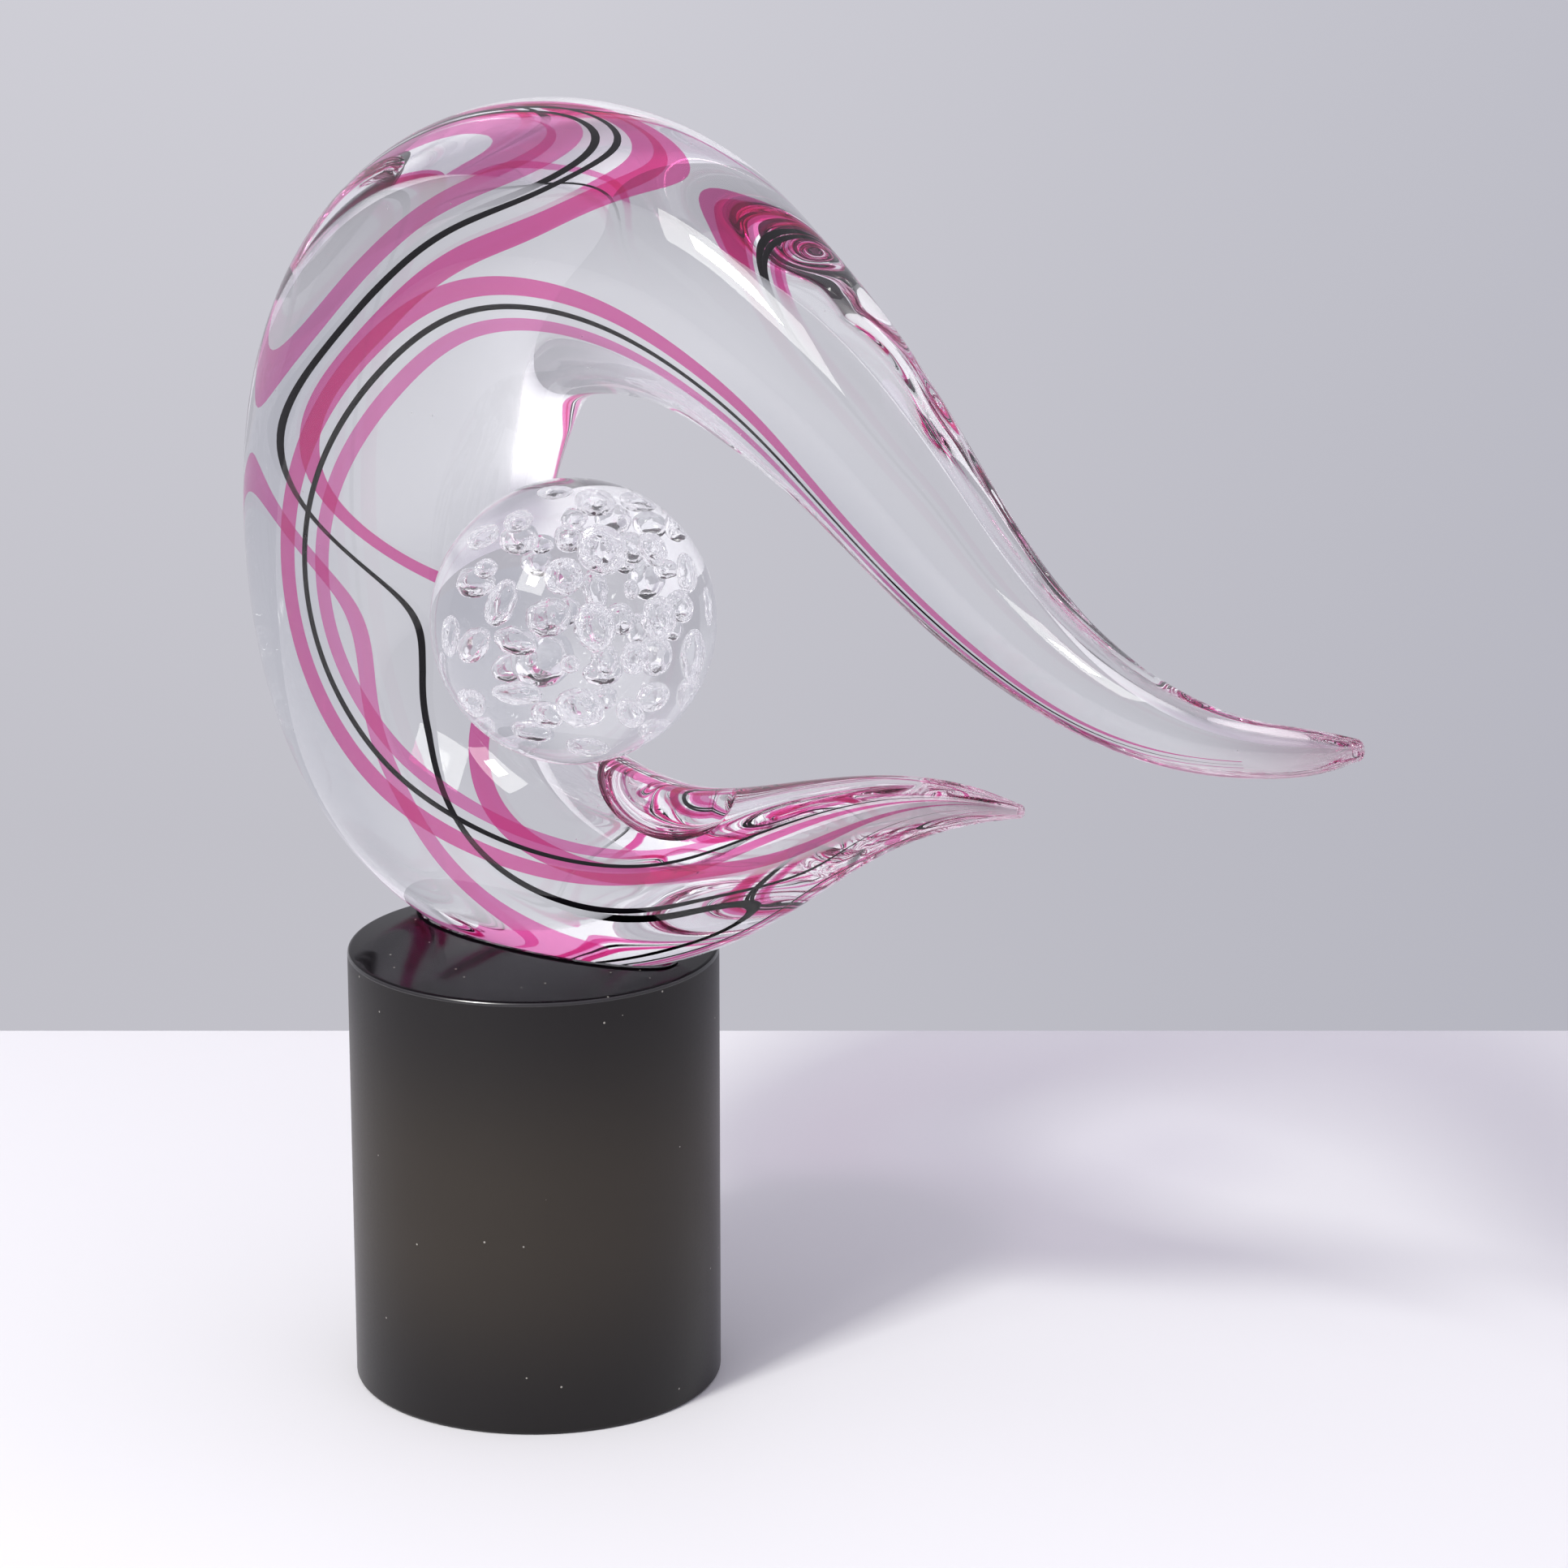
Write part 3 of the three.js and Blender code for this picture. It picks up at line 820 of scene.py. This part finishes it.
# %% The camera's place, which the bubbles are seen from
# The photograph is a three-quarter view: the camera, the table's edge, the wall and
# the lamps are placed as it sees them, and then turned together about the base's axis
VIEW_TURN = math.radians(42)
TO_VIEW = Matrix.Rotation(VIEW_TURN, 3, "Z")
CAMERA_PLACE = TO_VIEW @ Vector((67.386, -1351.3, 557.2)) * MM
CAMERA_PITCH = math.radians(16.1375)
SENSOR_WIDTH = 36.0
PHOTO_SIDE = 1932
FOCAL_PIXELS = 6500
print("the camera is", round(CAMERA_PLACE.length / MM), "mm from the frame's origin")


# %% Follow each line of sight into the ball
# the least glass outside a bubble, how much larger each is made than the list says, so
# that the render shows it as large as the photograph does, and how much deeper in mm
# one is set, step by step, that would touch another
SHELL = 0.8 * MM
BUBBLE_SWELL = 1.45
DEEPER = range(0, 45, 2)


def refract(direction, normal, ratio):
    """The direction of a ray after it enters glass, by Snell's law."""
    facing = -direction.dot(normal)
    bent = 1 - ratio**2 * (1 - facing**2)
    return (ratio * direction + (ratio * facing - math.sqrt(bent)) * normal).normalized()


def place_bubbles():
    """Each bubble's centre, half sizes, tilt and largest half size, and the view's right."""
    sight = (BALL_CENTRE - CAMERA_PLACE).normalized()
    right = sight.cross(Vector((0, 0, 1))).normalized()
    up = right.cross(sight)
    placed = []
    for across, above, width, height, tilt, depth in BUBBLES:
        width *= BUBBLE_SWELL
        height *= BUBBLE_SWELL
        face = (right * across + up * above) * MM
        toward = math.sqrt(max(BALL_RADIUS**2 - face.length_squared, 0))
        entry = face - sight * toward
        inside = refract(sight, entry.normalized(), 1 / GLASS_IOR)
        half = max(width, height) / 2 * MM
        for extra in DEEPER:
            reach = (depth + extra) * MM
            middle = entry + inside * reach
            magnified = 1 / (1 - reach / BALL_RADIUS * (1 - 1 / GLASS_IOR))
            radius = half / magnified
            clear = all((middle - other).length > radius + other_radius
                        for other, _, _, other_radius in placed)
            if clear and middle.length + radius < BALL_RADIUS - SHELL:
                break
        size = Vector((width / 2, min(width, height) / 2, height / 2)) * MM / magnified
        placed.append((middle, size, math.radians(tilt), radius))
    return placed, right


bubbles, right = place_bubbles()
print("the deepest bubble lies", round(min(item[0].length for item in bubbles) / MM),
      "mm from the ball's middle")


# %% The tree that hollows the ball
def bubble_tree():
    """A geometry tree that puts hollow, slightly wrinkled ovals inside a ball."""
    tree, given, result = tree_with(
        "bubbles_in_ball", "GeometryNodeTree",
        {"Centres": "NodeSocketGeometry", "Ball Radius": "NodeSocketFloat",
         "Ball Centre": "NodeSocketVector", "Ball Detail": "NodeSocketInt",
         "Bubble Detail": "NodeSocketInt", "Wrinkle": "NodeSocketFloat",
         "Material": "NodeSocketMaterial"},
        {"Ball": "NodeSocketGeometry"})
    outer = add(tree, "GeometryNodeMeshIcoSphere", {
        "Radius": given.outputs["Ball Radius"], "Subdivisions": given.outputs["Ball Detail"],
    })
    seated = add(tree, "GeometryNodeTransform", {
        "Geometry": outer.outputs["Mesh"], "Translation": given.outputs["Ball Centre"],
    })
    unit = add(tree, "GeometryNodeMeshIcoSphere", {
        "Radius": 1.0, "Subdivisions": given.outputs["Bubble Detail"],
    })
    angles = add(tree, "FunctionNodeEulerToRotation", {"Euler": stored(tree, "turn")})
    spread = add(tree, "GeometryNodeInstanceOnPoints", {
        "Points": given.outputs["Centres"], "Instance": unit.outputs["Mesh"],
        "Rotation": angles.outputs["Rotation"], "Scale": stored(tree, "size"),
    })
    real = add(tree, "GeometryNodeRealizeInstances", {"Geometry": spread.outputs["Instances"]})
    place = add(tree, "GeometryNodeInputPosition").outputs["Position"]
    noise = add(tree, "ShaderNodeTexNoise", {"Vector": place, "Scale": 300.0, "Detail": 2.0})
    swell = math_node(tree, "SUBTRACT", noise.outputs["Fac"], 0.5)
    amount = math_node(tree, "MULTIPLY", swell, given.outputs["Wrinkle"])
    normal = add(tree, "GeometryNodeInputNormal").outputs["Normal"]
    shaped = add(tree, "GeometryNodeSetPosition", {
        "Geometry": real.outputs["Geometry"],
        "Offset": vector_node(tree, "SCALE", normal, scale=amount),
    })
    hollow = add(tree, "GeometryNodeFlipFaces", {"Mesh": shaped.outputs["Geometry"]})
    joined = add(tree, "GeometryNodeJoinGeometry")
    tree.links.new(hollow.outputs["Mesh"], joined.inputs["Geometry"])
    tree.links.new(seated.outputs["Geometry"], joined.inputs["Geometry"])
    shaded = add(tree, "GeometryNodeSetShadeSmooth", {"Geometry": joined.outputs["Geometry"]})
    whole = add(tree, "GeometryNodeRealizeInstances", {"Geometry": shaded.outputs["Geometry"]})
    painted = add(tree, "GeometryNodeSetMaterial", {
        "Geometry": whole.outputs["Geometry"], "Material": given.outputs["Material"],
    })
    tree.links.new(painted.outputs["Geometry"], result.inputs["Ball"])
    return tree


# %% Make the ball
BUBBLE_DETAIL = 4
BUBBLE_WRINKLE = 1.3 * MM


def bubble_points(name):
    """A point at each bubble's centre, which holds the bubble's size and turn."""
    middles, sizes, tilts, _ = zip(*bubbles)
    facing = math.atan2(right.y, right.x)
    mesh = bpy.data.meshes.new(name)
    mesh.from_pydata([list(BALL_CENTRE + middle) for middle in middles], [], [])
    keep_vectors(mesh, "size", [list(size) for size in sizes])
    keep_vectors(mesh, "turn", [[0.0, tilt, facing] for tilt in tilts])
    return new_object(name, mesh)


ball = run_tree(bubble_points("bubble_ball_glass"), bubble_tree(), {
    "Ball Radius": BALL_RADIUS, "Ball Centre": BALL_CENTRE, "Ball Detail": BALL_DETAIL,
    "Bubble Detail": BUBBLE_DETAIL, "Wrinkle": BUBBLE_WRINKLE, "Material": ball_glass,
})
print("ball:", len(ball.data.polygons), "faces")


# %% [markdown]
# The base
#
# The base is a solid black glass cylinder with a satin ground side, a polished top
# and fine rounded bevels. A cylinder with a bevel modifier would do, but a turned
# profile needs no modifier: the outline is drawn once and swept round. The side, the
# top and the bevel each have a finish of their own, because they are ground and
# polished differently. Half way up, the side is slightly brown, as in the photograph;
# towards the base's top and bottom every finish is painted darker, which is painted
# shade.

# %% Turn the base
BASE_SIDES = 256
BEVEL_STEPS = 6


def turned_base(name):
    """The cylinder with both bevels: rings from its underside to its top."""
    inner = BASE_RADIUS - BASE_BEVEL
    top_inner = BASE_TOP - BASE_BEVEL
    quarter = [(BASE_BEVEL * math.cos(t), BASE_BEVEL * math.sin(t))
               for t in np.linspace(0, math.pi / 2, BEVEL_STEPS + 1)]
    profile = [(inner + out, BASE_BEVEL - up) for up, out in quarter]
    profile += [(inner + out, top_inner + up) for out, up in quarter]
    angles = np.linspace(0, 2 * math.pi, BASE_SIDES, endpoint=False)
    rings = [[(radius * math.cos(a), radius * math.sin(a), height) for a in angles]
             for radius, height in profile]
    return skin(name, np.array(rings), (0, 0, 0), (0, 0, BASE_TOP))


base = turned_base("base_dark_glass")
smooth(base)
print("base:", len(base.data.polygons), "faces")


# %% Satin and polished dark glass
DUST_COLOUR = (0.35, 0.33, 0.3)
# the colour of the painted shade towards the base's top and bottom, and how strong it is
PAINTED_SHADE_COLOUR = (0.004, 0.003, 0.004)
PAINTED_SHADE_STRENGTH = 0.9
# how far from half way up the painted shade starts and is full, and how much the grain
# changes the roughness up and down
PAINTED_SHADE_REACH = (0.05 * BASE_TOP, 0.48 * BASE_TOP)
GRAIN_SPREAD = 0.1


def dark_glass(name, colours, roughness, dust_amount, sheen, shine):
    """Black glass between two clouded colours, with painted shade that darkens it towards the
    base's ends.
    """
    made, tree, output = new_material(name)
    place = add(tree, "ShaderNodeTexCoord").outputs["Object"]
    cloud = add(tree, "ShaderNodeTexNoise", {"Vector": place, "Scale": 9.0, "Detail": 3.0})
    body = colour_mix(tree, cloud.outputs["Fac"], (*colours[0], 1), (*colours[1], 1))
    # painted shade: darker towards the base's top and bottom, so that the side looks lit half way
    # up
    level = add(tree, "ShaderNodeSeparateXYZ", {"Vector": place}).outputs["Z"]
    from_middle = math_node(tree, "ABSOLUTE", math_node(tree, "SUBTRACT", level, BASE_TOP / 2))
    ends = rise(tree, from_middle, *PAINTED_SHADE_REACH)
    painted_shade = math_node(tree, "MULTIPLY", ends, PAINTED_SHADE_STRENGTH)
    body = colour_mix(tree, painted_shade, body, (*PAINTED_SHADE_COLOUR, 1))
    dust = use_group(tree, DUST, Scale=460.0, Size=0.13, Amount=dust_amount)
    colour = colour_mix(tree, dust.outputs["Mask"], body, (*DUST_COLOUR, 1))
    grain = add(tree, "ShaderNodeTexNoise", {"Vector": place, "Scale": 1400.0, "Detail": 2.0})
    rough = add(tree, "ShaderNodeMapRange", {
        "Value": grain.outputs["Fac"],
        "To Min": roughness * (1 - GRAIN_SPREAD), "To Max": roughness * (1 + GRAIN_SPREAD),
    })
    bump = add(tree, "ShaderNodeBump", {
        "Height": grain.outputs["Fac"], "Strength": roughness, "Distance": 0.02 * MM,
    })
    shader = add(tree, "ShaderNodeBsdfPrincipled", {
        "Base Color": colour, "Roughness": rough.outputs["Result"], "IOR": GLASS_IOR,
        "Specular IOR Level": shine, "Normal": bump.outputs["Normal"],
        "Sheen Weight": sheen, "Sheen Roughness": 0.25,
    })
    tree.links.new(shader.outputs["BSDF"], output.inputs["Surface"])
    return made


SATIN = dark_glass(
    "satin_black_glass", [(0.019, 0.015, 0.011), (0.034, 0.026, 0.019)],
    roughness=0.42, dust_amount=0.02, sheen=0.14, shine=0.34)
POLISHED = dark_glass(
    "polished_black_glass", [(0.008, 0.005, 0.009), (0.014, 0.008, 0.016)],
    roughness=0.10, dust_amount=0.04, sheen=0.0, shine=0.08)
BEVELLED = dark_glass(
    "bevelled_black_glass", [(0.020, 0.018, 0.018), (0.030, 0.027, 0.026)],
    roughness=0.22, dust_amount=0.02, sheen=0.30, shine=1.0)

# %% Put the finishes on the base's faces
POLISH_DEPTH = BASE_BEVEL / 3
finishes = [SATIN, POLISHED, BEVELLED]
for finish in finishes:
    base.data.materials.append(finish)
for face in base.data.polygons:
    below_top = BASE_TOP - face.center.z
    finish = SATIN
    if below_top < POLISH_DEPTH:
        finish = POLISHED
    elif below_top < BASE_BEVEL:
        finish = BEVELLED
    face.material_index = finishes.index(finish)
print("base finishes:", [finish.name for finish in finishes])

# %% Give each piece its glass, its body and its CAD node
for piece, finish in ((swirl, swirl_glass), (foot_film, film_glass), (ball_film, film_glass)):
    piece.data.materials.clear()
    piece.data.materials.append(finish)

for piece, node, slot in (
    (swirl, "swirl_body", "clear_glass"),
    (foot_film, "foot_bond_film", "clear_bond"),
    (ball_film, "ball_bond_film", "clear_bond"),
    (ball, "bubble_ball", "ball_glass"),
    (base, "base_cylinder", "dark_glass"),
):
    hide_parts(node)
    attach(piece, "root")
    print(piece.name, "stands for", node)

# %% [markdown]
# The stage
#
# A plain near-white table with a pale grey wall behind it. The table is lit, so
# that it keeps the shadow. Where the camera and the glass see the wall, it glows with
# painted light, lighter high at the left and darker low at the right, so no extra
# light has to fall on the object for it.

# %% Table and wall
TABLE_BACK = 0.284
STAGE_SIDE = 2.6
WALL_PLACE = 2.6
WALL_LOW, WALL_HIGH = -1.3, 3.4


def flat_panel(name, side, near, far):
    """A flat stage piece between two edges, each given by its place and its height."""
    mesh = bpy.data.meshes.new(name)
    corners = [(-side, *near), (side, *near), (side, *far), (-side, *far)]
    mesh.from_pydata(corners, [], [(0, 1, 2, 3)])
    made = new_object(name, mesh)
    made.rotation_euler.z = VIEW_TURN
    return made


table = flat_panel("table", STAGE_SIDE, (-STAGE_SIDE, 0), (TABLE_BACK, 0))
wall = flat_panel("wall", 2 * STAGE_SIDE, (WALL_PLACE, WALL_LOW), (WALL_PLACE, WALL_HIGH))
print("the table's back edge lies", round(TABLE_BACK / MM), "mm behind the base's axis")

# %% The table's paint
table_paint, tree, output = new_material("table_paint")
shader = add(tree, "ShaderNodeBsdfPrincipled", {
    "Base Color": (0.86, 0.855, 0.88, 1), "Roughness": 0.6, "Specular IOR Level": 0.2,
})
tree.links.new(shader.outputs["BSDF"], output.inputs["Surface"])
table.data.materials.append(table_paint)
print("table:", table_paint.name)

# %% The wall's paint
# the span over which the wall's painted light changes from left to right and from low
# to high, and that painted light at the left and at the right, high and low
SIDE_SPAN = (-0.10, 0.80)
HEIGHT_SPAN = (-0.62, 0.25)
HIGH_PAINTED_LIGHT = (0.650, 0.645, 0.700, 1), (0.520, 0.520, 0.580, 1)
LOW_PAINTED_LIGHT = (0.535, 0.530, 0.580, 1), (0.460, 0.460, 0.520, 1)

wall_painted_light, tree, output = new_material("wall_painted_light")
sideways = between(tree, "X", *SIDE_SPAN, steps="LINEAR")
upwards = between(tree, "Z", *HEIGHT_SPAN, steps="LINEAR")
high = colour_mix(tree, sideways, *HIGH_PAINTED_LIGHT)
low = colour_mix(tree, sideways, *LOW_PAINTED_LIGHT)
tone = colour_mix(tree, upwards, low, high)
# painted light: the wall glows with this tone for camera, glossy and transmission rays, and is a
# plain diffuse wall for all other light
glow = add(tree, "ShaderNodeEmission", {"Color": tone, "Strength": 1.0})
plain = add(tree, "ShaderNodeBsdfDiffuse", {"Color": (0.6, 0.6, 0.64, 1)})
path = add(tree, "ShaderNodeLightPath").outputs
seen = math_node(tree, "MAXIMUM", path["Is Camera Ray"], path["Is Glossy Ray"])
seen = math_node(tree, "MAXIMUM", seen, path["Is Transmission Ray"])
both = shader_mix(tree, seen, plain.outputs["BSDF"], glow.outputs["Emission"])
tree.links.new(both, output.inputs["Surface"])
wall.data.materials.append(wall_painted_light)
print("wall:", wall_painted_light.name)

# %% [markdown]
# Light
#
# A softbox stands at the front left, above the object: a small bright core in the
# middle of a wide, dim diffuser. The core gives the sharp highlights and the shadow
# its shape, and the diffuser softens them. Their place follows from the bright spot
# on the ball: on a sphere, the highlight shows the direction half way between the eye
# and the lamp. The room round them is a mid grey up to eye level and brighter
# overhead, which gives the glass its grey edges.

# %% The softbox
KEY_DIRECTION = (TO_VIEW @ Vector((-0.483, -0.570, 0.665))).normalized()
KEY_DISTANCE = 2.4
KEY_SIZE = (0.34, 0.30)
KEY_POWER = 35.0
DIFFUSER_SIZE = (0.95, 0.75)
DIFFUSER_POWER = 15.0
KEY_COLOUR = (1.0, 1.0, 0.95)


def lamp_at_ball(name, size, power):
    """A flat lamp that faces the ball from the softbox's place."""
    lamp = bpy.data.lights.new(name, "AREA")
    lamp.shape = "RECTANGLE"
    lamp.size, lamp.size_y = size
    lamp.energy = power
    lamp.color = KEY_COLOUR
    made = new_object(name, lamp)
    made.location = BALL_CENTRE + KEY_DIRECTION * KEY_DISTANCE
    made.rotation_euler = (-KEY_DIRECTION).to_track_quat("-Z", "Y").to_euler()
    print(name, "gives", power, "W")


lamp_at_ball("key_softbox", KEY_SIZE, KEY_POWER)
lamp_at_ball("key_diffuser", DIFFUSER_SIZE, DIFFUSER_POWER)

# %% The room
# the tones at eye level and overhead, how steep a direction has to be for the second,
# where 1 is straight up, and the tone that the camera sees
LEVEL_TONE = (0.46, 0.45, 0.50, 1)
OVERHEAD_TONE = (0.74, 0.71, 0.80, 1)
OVERHEAD = 0.9
SHOWN_TONE = (0.60, 0.60, 0.65, 1)

world = bpy.data.worlds.new("studio_room")
bpy.context.scene.world = world
world.use_nodes = True
room = world.node_tree
room.nodes.clear()
direction = add(room, "ShaderNodeTexCoord").outputs["Generated"]
upright = add(room, "ShaderNodeSeparateXYZ", {"Vector": direction}).outputs["Z"]
tone = colour_mix(room, rise(room, upright, 0.0, OVERHEAD), LEVEL_TONE, OVERHEAD_TONE)
lit = add(room, "ShaderNodeBackground", {"Color": tone, "Strength": 1.0})
shown = add(room, "ShaderNodeBackground", {"Color": SHOWN_TONE, "Strength": 1.0})
camera_ray = add(room, "ShaderNodeLightPath").outputs["Is Camera Ray"]
chosen = shader_mix(room, camera_ray, lit.outputs["Background"], shown.outputs["Background"])
add(room, "ShaderNodeOutputWorld", {"Surface": chosen})
print("room:", world.name)

# %% [markdown]
# Camera and light paths
#
# A long lens looks slightly down on the piece, as in the photograph. Clear glass
# in glass needs many bounces, because each surface that a ray crosses counts as
# one. Light that is caught in a horn also mirrors from wall to wall many times before
# it gets out, and with few bounces such places would turn black.

# %% Camera
lens = bpy.data.cameras.new("camera")
lens.sensor_width = SENSOR_WIDTH
lens.lens = FOCAL_PIXELS / PHOTO_SIDE * SENSOR_WIDTH
camera = new_object("camera", lens)
camera.location = CAMERA_PLACE
camera.rotation_euler = (math.pi / 2 - CAMERA_PITCH, 0, VIEW_TURN)
bpy.context.scene.camera = camera
print("the lens is", round(lens.lens), "mm long")

# %% Light paths
BOUNCES = 96
CLEAR_CROSSINGS = 256
scene = bpy.context.scene
scene.view_settings.view_transform = "Standard"
scene.cycles.max_bounces = BOUNCES
scene.cycles.transmission_bounces = BOUNCES
scene.cycles.glossy_bounces = BOUNCES
scene.cycles.transparent_max_bounces = CLEAR_CROSSINGS
scene.cycles.caustics_reflective = False
scene.cycles.caustics_refractive = False
print("light may bounce", BOUNCES, "times")
